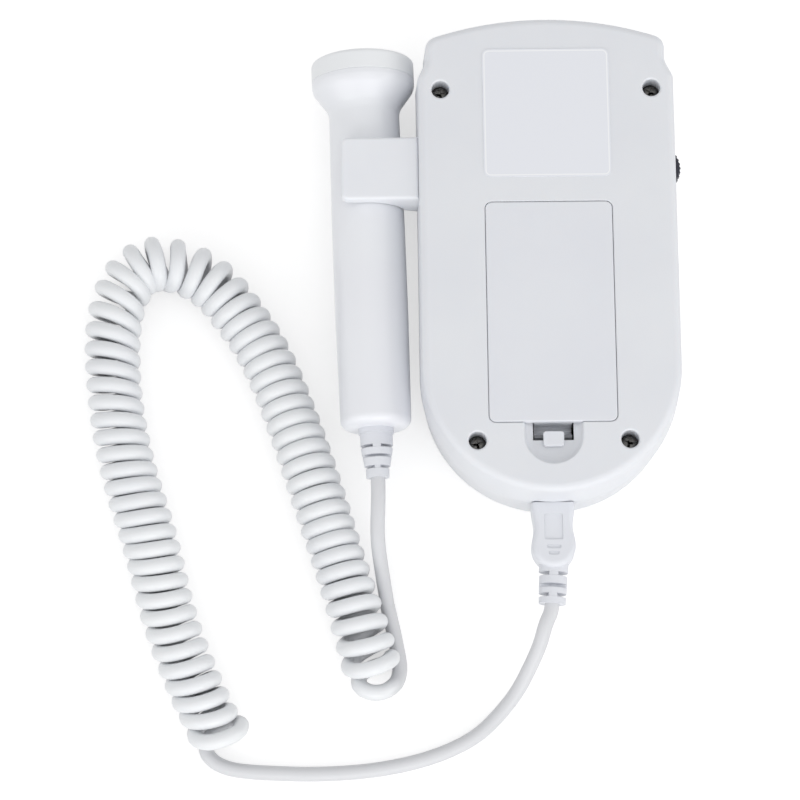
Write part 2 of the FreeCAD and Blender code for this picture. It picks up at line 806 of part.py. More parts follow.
def strain_relief(rings, side_slots, cross_slots, core_radius, web):
    """A ribbed sleeve along -Y from the origin; side slots leave an upright web, cross slots a flat one."""
    sleeves = [rod(core_radius, point(0, 0, 0), -along_y, rings[-1][1])]
    for start, end, radius in rings:
        sleeves.append(rod(radius, point(0, -start, 0), -along_y, end - start))
    body = join(sleeves)
    core = rod(core_radius, point(0, 1, 0), -along_y, rings[-1][1] + 2)
    cuts = []
    for start, end in side_slots:
        for side in (-1, 1):
            middle = side * (web + 10)
            cuts.append(box(middle - 10, middle + 10, -end, -start, -10, 10).cut(core))
    for start, end in cross_slots:
        for side in (-1, 1):
            middle = side * (web + 10.4)
            cuts.append(box(-10, 10, -end, -start, middle - 10, middle + 10).cut(core))
    return body.cut(cuts)


def plug_relief():
    sleeve = strain_relief(
        [(-0.8, 2.9, 4.05), (2.9, 8.8, 3.9), (8.8, 10.65, 3.75)], [(2.5, 3.35), (8.4, 9.25)], [(5.65, 6.7)], 2.2, 1.2
    )
    sleeve.rotate(point(0, 0, 0), up, plug_lean_deg)
    sleeve.translate(point(0, plug_start_y() - relief_start, socket_height))
    return sleeve.cut(plug_body())


def on_probe(shape):
    """Turns and moves a shape drawn along +Y from the origin onto the probe's axis."""
    shape.rotate(point(0, 0, 0), up, probe_lean_deg)
    shape.translate(probe_foot)
    return shape


def probe_body():
    """Handle and funnel of the probe, hollow, open at the head."""
    shoulder = 98.4
    edges = [
        Part.makeLine(point(3.5, 0), point(7.3, 0)),
        Part.Arc(point(7.3, 0), point(9.15, 0.75), point(handle_foot_radius, 2.6)).toShape(),
        Part.makeLine(point(handle_foot_radius, 2.6), point(handle_mid_radius, 32)),
        Part.makeLine(point(handle_mid_radius, 32), point(handle_mid_radius, 58)),
        Part.makeLine(point(handle_mid_radius, 58), point(handle_neck_radius, handle_length)),
        Part.Arc(point(handle_neck_radius, handle_length), point(10.25, 92.2), point(11.1, 93.8)).toShape(),
        Part.makeLine(point(11.1, 93.8), point(13.6, 97.3)),
        Part.Arc(point(13.6, 97.3), point(14.2, 98.4), point(head_radius, 99.7)).toShape(),
    ]
    inner = handle_neck_radius - probe_wall
    edges += polygon_edges([
        point(head_radius, 99.7), point(head_radius, head_seam - seam_groove), point(head_radius - seam_groove, head_seam),
        point(12.6, head_seam), point(12.6, shoulder),
        point(inner, 91.0), point(inner, 3.0), point(3.5, 3.0), point(3.5, 0),
    ])
    return on_probe(turned(edges, point(0, 0), along_y))


def probe_face():
    """The cap over the crystals: a spigot inside the funnel and a slightly domed face."""
    start = head_seam
    end = head_length + head_dome
    outline = [
        (0, 105.0), (11.2, 105.0), (11.2, 98.8), (12.5, 98.8), (12.5, start), (head_radius - seam_groove, start),
        (head_radius, start + seam_groove), (head_radius, end), (0, end), (0, 105.0),
    ]
    cap = turned(polygon_edges([point(x, y) for x, y in outline]), point(0, 0), along_y)
    dome_radius = (head_radius ** 2 + head_dome ** 2) / (2 * head_dome)
    cap = cap.common(Part.makeSphere(dome_radius, point(0, end - dome_radius, 0)))
    rim = [edge for edge in cap.Edges if abs(edge.BoundBox.YMax - head_length) < 0.01]
    return on_probe(cap.makeFillet(head_edge_radius, rim))


def transducer_crystals():
    """Two half discs side by side, one sends and one listens."""
    disc = rod(crystal_radius, point(0, 104.0, 0), along_y, 0.9)
    split = box(-0.3, 0.3, 100, 110, -20, 20)
    return on_probe(disc.cut(split))


def transducer_backing():
    return on_probe(rod(10.8, point(0, 98.9, 0), along_y, 5.0))


def probe_relief():
    sleeve = strain_relief(
        [(0, 0.9, 4.9), (0.9, 7.8, 4.6), (7.8, 10.9, 3.65), (10.9, 13.1, 3.3)],
        [(4.0, 4.8), (10.2, 10.9)], [(7.0, 7.9)], 2.6, 1.1,
    )
    stub = rod(3.4, point(0, -0.5, 0), along_y, 3.3)
    return on_probe(sleeve.fuse(stub))


def probe_clip():
    """A rear arm over the handle and a front jaw under it, both from one root on the case's side."""
    axis_point = probe_foot
    lean = math.radians(probe_lean_deg)
    axis = point(-math.sin(lean), math.cos(lean), 0)
    middle_y = (clip_foot_y + clip_top_y) / 2
    axis_x = axis_point.x - (middle_y - axis_point.y) * math.tan(lean)
    centre_z = axis_point.z
    arm_foot = centre_z + clip_bore_radius
    root_x = -half_width + 2
    arm = [
        point(clip_left_x, clip_foot_y, arm_foot), point(clip_left_x, clip_foot_y, clip_height),
        point(root_x, clip_foot_y, clip_height), point(root_x, clip_foot_y, clip_root_height - 0.4),
        point(axis_x + clip_bore_radius - 1, clip_foot_y, clip_root_height + 2.0),
        point(axis_x, clip_foot_y, centre_z + 3), point(axis_x, clip_foot_y, arm_foot),
        point(clip_left_x, clip_foot_y, arm_foot),
    ]
    arm = Part.Face(Part.makePolygon(arm)).extrude(along_y * (clip_top_y - clip_foot_y))
    uprights = [edge for edge in arm.Edges if edge.BoundBox.XMax < clip_left_x + 0.01 and edge.BoundBox.ZLength > 1]
    arm = arm.makeFillet(clip_corner_radius, uprights)
    jaw_radius = clip_bore_radius + jaw_thickness
    jaw_length = jaw_top_y - jaw_foot_y
    jaw = Part.makeCylinder(jaw_radius, jaw_length, point(0, 0, 0), along_y, jaw_end_deg - 90)
    start = point(jaw_radius, 0, 0)
    if not any((vertex.Point - start).Length < 0.01 for vertex in jaw.Vertexes):
        jaw.rotate(point(0, 0, 0), along_y, 90)
    jaw.translate(point(axis_x, jaw_foot_y, centre_z))
    root = box(axis_x + clip_bore_radius - 3, root_x, jaw_foot_y, jaw_top_y, centre_z - 9, centre_z + 3)
    bore = rod(clip_bore_radius, axis_point, axis, 120)
    cuts = [bore, front_block(), rear_block()]
    for y in clip_screw_places:
        cuts.append(rod(0.9, point(-half_width - 5, y, clip_screw_height), along_x, 8))
    clip = join([arm, jaw, root]).cut(cuts)
    return clip.makeFillet(clip_edge_radius, level_edges(clip, clip_height))


def clip_screws():
    """Two screws from inside the case into the clip's root."""
    screws = []
    inner_x = -half_width + wall + 0.35
    for y in clip_screw_places:
        head = rod(1.9, point(inner_x, y, clip_screw_height), along_x, 1.2)
        screws.append(head.fuse(rod(0.85, point(-half_width - 4, y, clip_screw_height), along_x, wall + 4.4)))
    return Part.makeCompound(screws)


def cord_tube(name, route, radius):
    """A tube of straight runs and tangent arcs along a route."""
    points = [point(*place) for place in route]
    edges = []
    radii = []
    last = points[0]
    for i in range(1, len(points) - 1):
        turn = (points[i] - points[i - 1]).getAngle(points[i + 1] - points[i])
        shorter = min((points[i] - points[i - 1]).Length, (points[i + 1] - points[i]).Length)
        bend = 0.45 * shorter / math.tan(turn / 2)
        radii.append(bend)
        start, middle, end = corner(points[i - 1], points[i], points[i + 1], bend)
        edges.append(Part.LineSegment(last, start).toShape())
        edges.append(Part.Arc(start, middle, end).toShape())
        last = end
    edges.append(Part.LineSegment(last, points[-1]).toShape())
    path = Part.Wire(edges)
    profile = Part.Wire(Part.makeCircle(radius, points[0], points[1] - points[0]))
    tube = path.makePipeShell([profile], True, False)
    expected = math.pi * radius ** 2 * path.Length
    print(name, "length", round(path.Length, 1), "volume ratio", round(tube.Volume / expected, 4),
          "radii", [round(bend, 1) for bend in radii])
    return tube


def write_parts():
    nodes = {
        "rear_cover": rear_cover(),
        "front_cover": front_cover(),
        "battery_door": battery_door(),
        "battery_door_latch": battery_door_latch(),
        "rear_label": rear_label(),
        "case_screws": case_screws(),
        "battery_cell_left": battery_cell_left(),
        "battery_cell_right": battery_cell_right(),
        "bridge_contact": bridge_contact(),
        "negative_contact": negative_contact(),
        "positive_contact": positive_contact(),
        "main_board": main_board(),
        "board_screws": board_screws(),
        "lcd_module": lcd_module(),
        "display_window": display_window(),
        "button_switches": button_switches(),
        "speaker": speaker(),
        "volume_wheel": volume_wheel(),
        "volume_potentiometer": volume_potentiometer(),
        "earphone_jack": earphone_jack(),
        "probe_socket": probe_socket(),
        "probe_clip": probe_clip(),
        "clip_screws": clip_screws(),
        "probe_body": probe_body(),
        "probe_face": probe_face(),
        "transducer_crystals": transducer_crystals(),
        "transducer_backing": transducer_backing(),
        "probe_relief": probe_relief(),
        "plug_body": plug_body(),
        "plug_shell": plug_shell(),
        "plug_relief": plug_relief(),
        "main_lead": cord_tube("main_lead", main_lead_route, lead_radius),
        "coiled_cord": cord_tube("coiled_cord", curl_route, curl_radius),
        "probe_lead": cord_tube("probe_lead", probe_lead_route, lead_radius),
    }
    for name, x in button_places.items():
        nodes[name] = button(x)
    os.makedirs("parts", exist_ok=True)
    for name, shape in nodes.items():
        if not shape.isValid():
            print("not valid:", name)
        print(name, "solids", len(shape.Solids), "volume", round(shape.Volume, 1))
        shape.exportStep(f"parts/{name}.step")


write_parts()
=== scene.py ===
import bmesh
import bpy
import math
from mathutils import Matrix, Vector


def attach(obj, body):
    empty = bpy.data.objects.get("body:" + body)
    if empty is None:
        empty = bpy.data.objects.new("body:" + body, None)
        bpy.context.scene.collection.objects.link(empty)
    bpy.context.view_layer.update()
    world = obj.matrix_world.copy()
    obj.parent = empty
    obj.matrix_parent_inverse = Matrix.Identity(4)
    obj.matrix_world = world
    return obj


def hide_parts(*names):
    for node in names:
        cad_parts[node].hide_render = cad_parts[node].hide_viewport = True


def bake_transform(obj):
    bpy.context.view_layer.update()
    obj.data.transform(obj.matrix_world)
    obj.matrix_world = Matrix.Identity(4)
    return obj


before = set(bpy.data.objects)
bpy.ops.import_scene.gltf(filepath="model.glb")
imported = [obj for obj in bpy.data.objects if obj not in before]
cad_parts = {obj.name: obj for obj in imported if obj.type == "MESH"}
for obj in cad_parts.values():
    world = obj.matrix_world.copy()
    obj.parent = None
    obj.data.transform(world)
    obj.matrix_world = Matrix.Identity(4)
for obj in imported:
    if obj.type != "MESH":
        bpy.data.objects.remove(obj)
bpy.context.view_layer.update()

mm = 0.001
scene = bpy.context.scene
scene.view_settings.view_transform = "Standard"


def hexToLinear(code):
    parts = [int(code[i:i + 2], 16) / 255 for i in (1, 3, 5)]
    return tuple(c / 12.92 if c <= 0.04045 else ((c + 0.055) / 1.055) ** 2.4 for c in parts) + (1.0,)


def addNode(tree, kind, settings=None, links=None):
    # settings are node properties or, where the name is a socket, its value; links are the sockets that feed it
    node = tree.nodes.new(kind)
    for name, value in (settings or {}).items():
        if isinstance(name, str) and hasattr(node, name):
            setattr(node, name, value)
        else:
            node.inputs[name].default_value = value
    for name, source in (links or {}).items():
        tree.links.new(source, node.inputs[name])
    return node


def placedObject(name, data):
    thing = bpy.data.objects.new(name, data)
    scene.collection.objects.link(thing)
    return thing


def evaluatedMesh(thing):
    graph = bpy.context.evaluated_depsgraph_get()
    graph.update()
    return bpy.data.meshes.new_from_object(thing.evaluated_get(graph))


def only(mesh, material):
    mesh.materials.clear()
    mesh.materials.append(material)


cameraSettings = {
    "target": (-42.0071, -42.0478, 34.0),
    "distance": 1120.0,
    "tilt": 14.0,
    "azimuth": -0.9011,
    "roll": -0.818,
    "lens": 183.96,
}


def addCamera(settings):
    tilt = math.radians(settings["tilt"])
    azimuth = math.radians(settings["azimuth"])
    roll = math.radians(settings["roll"])
    back = Vector((math.sin(azimuth), -math.sin(tilt) * math.cos(azimuth), math.cos(tilt) * math.cos(azimuth)))
    back.normalize()
    flatRight = Vector((0, 1, 0)).cross(back).normalized()
    flatUp = back.cross(flatRight)
    right = math.cos(roll) * flatRight + math.sin(roll) * flatUp
    upward = -math.sin(roll) * flatRight + math.cos(roll) * flatUp
    data = bpy.data.cameras.new("camera")
    data.lens = settings["lens"]
    data.sensor_width = 36
    data.clip_start = 0.01
    data.clip_end = 20
    camera = placedObject("camera", data)
    place = (Vector(settings["target"]) + back * settings["distance"]) * mm
    camera.matrix_world = Matrix.Translation(place) @ Matrix((right, upward, back)).transposed().to_4x4()
    scene.camera = camera


addCamera(cameraSettings)
print("camera placed")


def newMaterial(name):
    material = bpy.data.materials.new(name)
    material.use_nodes = True
    tree = material.node_tree
    return material, tree, tree.nodes["Principled BSDF"]


def objectPlace(tree):
    return addNode(tree, "ShaderNodeTexCoord").outputs["Object"]


def blendOf(tree, factor, low, high):
    node = addNode(tree, "ShaderNodeMix", {"data_type": "RGBA"}, {"Factor": factor})
    for socket, value in ((node.inputs[6], low), (node.inputs[7], high)):
        if isinstance(value, str):
            socket.default_value = hexToLinear(value)
        else:
            tree.links.new(value, socket)
    return node.outputs[2]


def ramp(tree, value, start, end, low=0.0, high=1.0):
    # turns a value into low before start and high after end
    settings = {"From Min": start, "From Max": end, "To Min": low, "To Max": high}
    return addNode(tree, "ShaderNodeMapRange", settings, {"Value": value}).outputs["Result"]


def combine(tree, operation, first, second):
    node = addNode(tree, "ShaderNodeMath", {"operation": operation})
    for socket, value in zip(node.inputs, (first, second)):
        if isinstance(value, (int, float)):
            socket.default_value = value
        else:
            tree.links.new(value, socket)
    return node.outputs[0]


def roundedBoxDistance(tree, place, centre, half, radius):
    # how far a point lies outside a rounded rectangle in the XY plane, in metres; inside it is negative
    inner = tuple((side - radius) * mm for side in half) + (10.0,)
    middle = (centre[0] * mm, centre[1] * mm, 0.0)
    shifted = addNode(tree, "ShaderNodeVectorMath", {"operation": "SUBTRACT", 1: middle}, {0: place})
    folded = addNode(tree, "ShaderNodeVectorMath", {"operation": "ABSOLUTE"}, {0: shifted.outputs[0]})
    excess = addNode(tree, "ShaderNodeVectorMath", {"operation": "SUBTRACT", 1: inner}, {0: folded.outputs[0]})
    outside = addNode(tree, "ShaderNodeVectorMath", {"operation": "MAXIMUM", 1: (0.0, 0.0, 0.0)},
                      {0: excess.outputs[0]})
    length = addNode(tree, "ShaderNodeVectorMath", {"operation": "LENGTH"}, {0: outside.outputs[0]})
    return combine(tree, "SUBTRACT", length.outputs["Value"], radius * mm)


def mouldedPlastic(name, colour, shade, roughness, grain, depth, gloss=0.03, coat=0.0, subsurface=0.0, edge=0.0):
    # grain: width of the mould texture in mm; depth: height of its bump in mm; shade: colour of the faint clouding;
    # gloss: how far the roughness wanders; edge: radius in mm that softens the look of sharp edges
    material, tree, shader = newMaterial(name)
    place = objectPlace(tree)
    cloudWidth = 28  # mm
    clouds = addNode(tree, "ShaderNodeTexNoise", {"Scale": 1 / (cloudWidth * mm), "Detail": 3.0}, {"Vector": place})
    clouding = ramp(tree, clouds.outputs["Fac"], 0.35, 0.7)
    tree.links.new(blendOf(tree, clouding, colour, shade), shader.inputs["Base Color"])
    spark = addNode(tree, "ShaderNodeTexNoise", {"Scale": 1 / (grain * mm), "Detail": 2.0}, {"Vector": place})
    wander = ramp(tree, spark.outputs["Fac"], 0.3, 0.7, roughness - gloss, roughness + gloss)
    tree.links.new(wander, shader.inputs["Roughness"])
    normal = None
    if edge:
        normal = addNode(tree, "ShaderNodeBevel", {"samples": 6, "Radius": edge * mm}).outputs["Normal"]
    if depth:
        bump = addNode(tree, "ShaderNodeBump", {"Strength": 1.0, "Distance": depth * mm},
                       {"Height": spark.outputs["Fac"]})
        if normal:
            tree.links.new(normal, bump.inputs["Normal"])
        normal = bump.outputs["Normal"]
    if normal:
        tree.links.new(normal, shader.inputs["Normal"])
    shader.inputs["IOR"].default_value = 1.5
    shader.inputs["Coat Weight"].default_value = coat
    shader.inputs["Coat Roughness"].default_value = 0.25
    if subsurface:
        shader.inputs["Subsurface Weight"].default_value = subsurface
        shader.inputs["Subsurface Radius"].default_value = (1.0, 0.9, 0.85)
        shader.inputs["Subsurface Scale"].default_value = 1.2 * mm
    return material


plasticSettings = {
    # ABS from a spark-eroded tool: a fine even satin that lets light in by about a millimetre, so thin gaps look soft.
    # The real grain is near 0.1 mm and is drawn wider to show.
    "satin_abs": {"colour": "#e6e8ec", "shade": "#e3e5ea", "roughness": 0.42, "grain": 0.35, "depth": 0.01,
                  "edge": 0.3, "subsurface": 0.2},
    # The door is moulded apart from the cover, so its white is a touch different.
    "door_abs": {"colour": "#e5e7ec", "shade": "#e2e4ea", "roughness": 0.41, "grain": 0.35, "depth": 0.01,
                 "edge": 0.25, "subsurface": 0.2},
    # ABS from a polished tool: smooth with a wide soft sheen.
    "polished_abs": {"colour": "#eef0f4", "shade": "#ecedf2", "roughness": 0.28, "grain": 2.0, "depth": 0.0,
                     "gloss": 0.0, "coat": 0.15},
    "clip_abs": {"colour": "#eceef2", "shade": "#e9ebf0", "roughness": 0.38, "grain": 0.35, "depth": 0.006,
                 "edge": 0.3, "subsurface": 0.2},
    "face_abs": {"colour": "#f0f2f4", "shade": "#eef0f3", "roughness": 0.38, "grain": 2.0, "depth": 0.0, "gloss": 0.01,
                 "edge": 0.3},
    # Soft PVC: a rubbery satin. The straight leads are set a little greyer than the curl: painted shade, for leads
    # that lie low by the floor. Whether their sheaths really differ isn't known.
    "pvc_sheath": {"colour": "#eceef0", "shade": "#e8eaed", "roughness": 0.36, "grain": 0.9, "depth": 0.004,
                   "coat": 0.1, "subsurface": 0.05},
    "pvc_lead": {"colour": "#d6d7da", "shade": "#d3d4d7", "roughness": 0.38, "grain": 0.9, "depth": 0.004,
                 "coat": 0.1, "subsurface": 0.05},
    "pvc_moulding": {"colour": "#e2e4e9", "shade": "#dfe1e7", "roughness": 0.4, "grain": 0.6, "depth": 0.006,
                     "edge": 0.25},
    "navy_nylon": {"colour": "#1d2030", "shade": "#181b28", "roughness": 0.4, "grain": 0.4, "depth": 0.015,
                   "edge": 0.1},
    "black_nylon": {"colour": "#191a1c", "shade": "#141517", "roughness": 0.5, "grain": 0.4, "depth": 0.02,
                    "edge": 0.1},
    "button_abs": {"colour": "#7f9fc4", "shade": "#7797bd", "roughness": 0.38, "grain": 0.5, "depth": 0.008,
                   "edge": 0.25},
    # Filled epoxy behind the crystals: dull and slightly mottled.
    "filled_epoxy": {"colour": "#26272a", "shade": "#36373a", "roughness": 0.7, "grain": 0.5, "depth": 0.04},
}
plastics = {name: mouldedPlastic(name, **settings) for name, settings in plasticSettings.items()}


def shadedFoot(material, colour, height):
    # a darker grey below a height in mm, painted so that the slot round the piece looks deep: the real piece is
    # one white all over
    tree = material.node_tree
    base = tree.nodes["Principled BSDF"].inputs["Base Color"]
    level = addNode(tree, "ShaderNodeSeparateXYZ", {}, {0: objectPlace(tree)}).outputs[2]
    deep = ramp(tree, level, (height + 0.5) * mm, (height - 0.5) * mm)
    tree.links.new(blendOf(tree, deep, base.links[0].from_socket, colour), base)


def greyEnds(material, colour, right, height):
    # painted shade: turns the colour greyer to the right of a place and below a height, both in mm, where the cord
    # lies straight and low
    tree = material.node_tree
    base = tree.nodes["Principled BSDF"].inputs["Base Color"]
    parts = addNode(tree, "ShaderNodeSeparateXYZ", {}, {0: objectPlace(tree)}).outputs
    shadedPart = combine(tree, "MAXIMUM", ramp(tree, parts[0], (right - 4) * mm, (right + 4) * mm),
                       ramp(tree, parts[2], (height + 1) * mm, (height - 1) * mm))
    tree.links.new(blendOf(tree, shadedPart, base.links[0].from_socket, colour), base)


plastics["latch_abs"] = plastics["door_abs"].copy()
plastics["latch_abs"].name = "latch_abs"
shadedFoot(plastics["latch_abs"], colour="#85878c", height=30.6)
# painted shade: the curl turns greyer near the floor and along its straight end
greyEnds(plastics["pvc_sheath"], plasticSettings["pvc_lead"]["colour"], right=-38, height=7.4)


def workedMetal(name, colour, roughness, pitch, stretch=(0.08, 1.0, 1.0), edge=0.0):
    # fine lines left by drawing or stamping, pitch in mm
    material, tree, shader = newMaterial(name)
    mapped = addNode(tree, "ShaderNodeMapping", {"Scale": stretch}, {"Vector": objectPlace(tree)})
    lines = addNode(tree, "ShaderNodeTexNoise", {"Scale": 1 / (pitch * mm), "Detail": 2.0},
                    {"Vector": mapped.outputs["Vector"]})
    wander = ramp(tree, lines.outputs["Fac"], 0.25, 0.75, roughness - 0.08, roughness + 0.1)
    tree.links.new(wander, shader.inputs["Roughness"])
    bump = addNode(tree, "ShaderNodeBump", {"Strength": 0.5, "Distance": 0.004 * mm}, {"Height": lines.outputs["Fac"]})
    if edge:
        soft = addNode(tree, "ShaderNodeBevel", {"samples": 6, "Radius": edge * mm})
        tree.links.new(soft.outputs["Normal"], bump.inputs["Normal"])
    tree.links.new(bump.outputs["Normal"], shader.inputs["Normal"])
    shader.inputs["Base Color"].default_value = hexToLinear(colour)
    shader.inputs["Metallic"].default_value = 1.0
    return material


# Case screws are steel with a dark passivated skin, so they show as dark heads with small glints.
darkScrew = workedMetal("dark_screw", "#6c6b69", 0.4, 0.3, (1.0, 1.0, 1.0), edge=0.15)
zincScrew = workedMetal("zinc_screw", "#a3a5a9", 0.36, 0.3, (1.0, 1.0, 1.0), edge=0.1)
nickelStrip = workedMetal("nickel_strip", "#c2c0b8", 0.3, 0.4)
nickelShell = workedMetal("nickel_shell", "#c9c9cb", 0.24, 0.3)


def labelFilm(name, centre, half, radius, film, line):
    # a bare self-adhesive film: lighter than the case, with a painted highlight drawn as a fine pale line just inside
    # its edge
    material, tree, shader = newMaterial(name)
    place = objectPlace(tree)
    distance = roundedBoxDistance(tree, place, centre, half, radius)
    border = combine(tree, "MULTIPLY", ramp(tree, distance, -0.75 * mm, -0.6 * mm),
                     ramp(tree, distance, -0.3 * mm, -0.45 * mm))
    tree.links.new(blendOf(tree, border, film, line), shader.inputs["Base Color"])
    ripple = addNode(tree, "ShaderNodeTexNoise", {"Scale": 1 / (6 * mm), "Detail": 1.0}, {"Vector": place})
    bump = addNode(tree, "ShaderNodeBump", {"Strength": 0.3, "Distance": 0.02 * mm}, {"Height": ripple.outputs["Fac"]})
    tree.links.new(bump.outputs["Normal"], shader.inputs["Normal"])
    shader.inputs["Roughness"].default_value = 0.34
    shader.inputs["IOR"].default_value = 1.48
    return material


def clearWindow(name, centre, half, radius, clear, paint):
    # clear acrylic with a painted border on its back; the middle stays clear for the display
    material, tree, shader = newMaterial(name)
    distance = roundedBoxDistance(tree, objectPlace(tree), centre, half, radius)
    border = ramp(tree, distance, -0.05 * mm, 0.05 * mm)
    tree.links.new(blendOf(tree, border, clear, paint), shader.inputs["Base Color"])
    tree.links.new(combine(tree, "SUBTRACT", 1.0, border), shader.inputs["Transmission Weight"])
    shader.inputs["Roughness"].default_value = 0.04
    shader.inputs["IOR"].default_value = 1.49
    return material


def displayGlass(name, glass, gaps, frameColour, depth):
    # reflective liquid-crystal glass, greenish grey when off, in front of a dark plastic frame
    material, tree, shader = newMaterial(name)
    place = objectPlace(tree)
    height = addNode(tree, "ShaderNodeSeparateXYZ", {}, {0: place}).outputs[2]
    behind = ramp(tree, height, (depth - 0.02) * mm, (depth + 0.02) * mm)
    cells = addNode(tree, "ShaderNodeTexBrick", {"offset": 0.0, "Scale": 1.0, "Brick Width": 2.2 * mm,
                                                 "Row Height": 3.6 * mm, "Mortar Size": 0.06 * mm}, {"Vector": place})
    for socket, colour in (("Color1", glass), ("Color2", glass), ("Mortar", gaps)):
        cells.inputs[socket].default_value = hexToLinear(colour)
    tree.links.new(blendOf(tree, behind, cells.outputs["Color"], frameColour), shader.inputs["Base Color"])
    shader.inputs["Roughness"].default_value = 0.22
    shader.inputs["Coat Weight"].default_value = 0.6
    shader.inputs["Coat Roughness"].default_value = 0.05
    return material


def boardLaminate(name, mask, trace, chip, chipFoot):
    # glass-epoxy board: green solder mask, paler over the copper, with black moulded chips on top
    material, tree, shader = newMaterial(name)
    place = objectPlace(tree)
    tracks = addNode(tree, "ShaderNodeTexBrick", {"offset": 0.37, "Scale": 1.0, "Brick Width": 5.2 * mm,
                                                  "Row Height": 1.1 * mm, "Mortar Size": 0.14 * mm}, {"Vector": place})
    for socket, colour in (("Color1", mask), ("Color2", mask), ("Mortar", trace)):
        tracks.inputs[socket].default_value = hexToLinear(colour)
    height = addNode(tree, "ShaderNodeSeparateXYZ", {}, {0: place}).outputs[2]
    chips = ramp(tree, height, chipFoot * mm, (chipFoot + 0.05) * mm)
    tree.links.new(blendOf(tree, chips, tracks.outputs["Color"], chip), shader.inputs["Base Color"])
    tree.links.new(ramp(tree, chips, 0.0, 1.0, 0.3, 0.55), shader.inputs["Roughness"])
    bump = addNode(tree, "ShaderNodeBump", {"Strength": 0.6, "Distance": 0.03 * mm}, {"Height": tracks.outputs["Fac"]})
    bump.invert = True
    tree.links.new(bump.outputs["Normal"], shader.inputs["Normal"])
    return material


def cellJacket(name, jacket, band, can, spacing, axisHeight, middle, bareRadius, bandStart):
    # a shrink sleeve over a nickel-plated can: the ends are bare metal, a pale band marks the nub's end
    material, tree, shader = newMaterial(name)
    parts = addNode(tree, "ShaderNodeSeparateXYZ", {}, {0: objectPlace(tree)})
    x, y, z = parts.outputs[0], parts.outputs[1], parts.outputs[2]
    across = combine(tree, "SUBTRACT", combine(tree, "ABSOLUTE", x, 0.0), spacing * mm)
    rise = combine(tree, "SUBTRACT", z, axisHeight * mm)
    radius = combine(tree, "SQRT", combine(tree, "ADD", combine(tree, "MULTIPLY", across, across),
                                           combine(tree, "MULTIPLY", rise, rise)), 0.0)
    bare = ramp(tree, radius, (bareRadius + 0.05) * mm, (bareRadius - 0.05) * mm)
    towards = combine(tree, "MULTIPLY", combine(tree, "SUBTRACT", y, middle * mm),
                      combine(tree, "MULTIPLY", combine(tree, "SIGN", x, 0.0), -1.0))
    sleeve = blendOf(tree, ramp(tree, towards, bandStart * mm, (bandStart + 0.1) * mm), jacket, band)
    tree.links.new(blendOf(tree, bare, sleeve, can), shader.inputs["Base Color"])
    tree.links.new(bare, shader.inputs["Metallic"])
    shader.inputs["Roughness"].default_value = 0.3
    return material


def speakerMaterial(name, paper, steel, magnetFoot):
    # black pressed paper in front, a plated steel pot behind
    material, tree, shader = newMaterial(name)
    place = objectPlace(tree)
    height = addNode(tree, "ShaderNodeSeparateXYZ", {}, {0: place}).outputs[2]
    pot = ramp(tree, height, (magnetFoot - 0.05) * mm, (magnetFoot + 0.05) * mm)
    tree.links.new(blendOf(tree, pot, paper, steel), shader.inputs["Base Color"])
    tree.links.new(pot, shader.inputs["Metallic"])
    tree.links.new(ramp(tree, pot, 0.0, 1.0, 0.85, 0.35), shader.inputs["Roughness"])
    fibres = addNode(tree, "ShaderNodeTexNoise", {"Scale": 1 / (0.5 * mm), "Detail": 4.0}, {"Vector": place})
    bump = addNode(tree, "ShaderNodeBump", {"Strength": 0.5, "Distance": 0.05 * mm}, {"Height": fibres.outputs["Fac"]})
    tree.links.new(bump.outputs["Normal"], shader.inputs["Normal"])
    return material


def silveredCeramic(name, silver, ceramic, grain):
    # lead zirconate discs with a fired silver electrode: pale, dull metal over a fine-grained ceramic
    material, tree, shader = newMaterial(name)
    specks = addNode(tree, "ShaderNodeTexNoise", {"Scale": 1 / (grain * mm), "Detail": 3.0},
                     {"Vector": objectPlace(tree)})
    tree.links.new(blendOf(tree, specks.outputs["Fac"], silver, ceramic), shader.inputs["Base Color"])
    shader.inputs["Metallic"].default_value = 0.35
    shader.inputs["Roughness"].default_value = 0.5
    return material


# Centres, half sizes, radii, heights and depths are in mm.
# the label's line colour is a painted highlight along its edge
labelSettings = {"centre": (0.0, 40.2), "half": (17.7, 18.65), "radius": 1.9, "film": "#e9ebf1", "line": "#f7f8fa"}
windowSettings = {"centre": (0.0, 34.0), "half": (21.6, 15.2), "radius": 1.2, "clear": "#f4f8fa", "paint": "#22304a"}
displaySettings = {"glass": "#9aa595", "gaps": "#8b958a", "frameColour": "#1b1c1e", "depth": 5.4}
boardSettings = {"mask": "#1d5a37", "trace": "#2c7a4c", "chip": "#17181a", "chipFoot": 11.65}
cellSettings = {
    "jacket": "#5d646e", "band": "#c9ced4", "can": "#c4c2bc", "spacing": 8.0, "axisHeight": 24.2, "middle": -16.6,
    "bareRadius": 6.6, "bandStart": 15.0,
}
speakerSettings = {"paper": "#161617", "steel": "#8d8f92", "magnetFoot": 7.2}
crystalSettings = {"silver": "#ded9c9", "ceramic": "#c8c2b0", "grain": 0.3}
labelMaterial = labelFilm("label_film", **labelSettings)
windowMaterial = clearWindow("window_acrylic", **windowSettings)
displayMaterial = displayGlass("display_glass", **displaySettings)
boardMaterial = boardLaminate("board_laminate", **boardSettings)
cellMaterial = cellJacket("cell_jacket", **cellSettings)
coneMaterial = speakerMaterial("speaker_paper", **speakerSettings)
crystalMaterial = silveredCeramic("silvered_ceramic", **crystalSettings)
print("materials made")


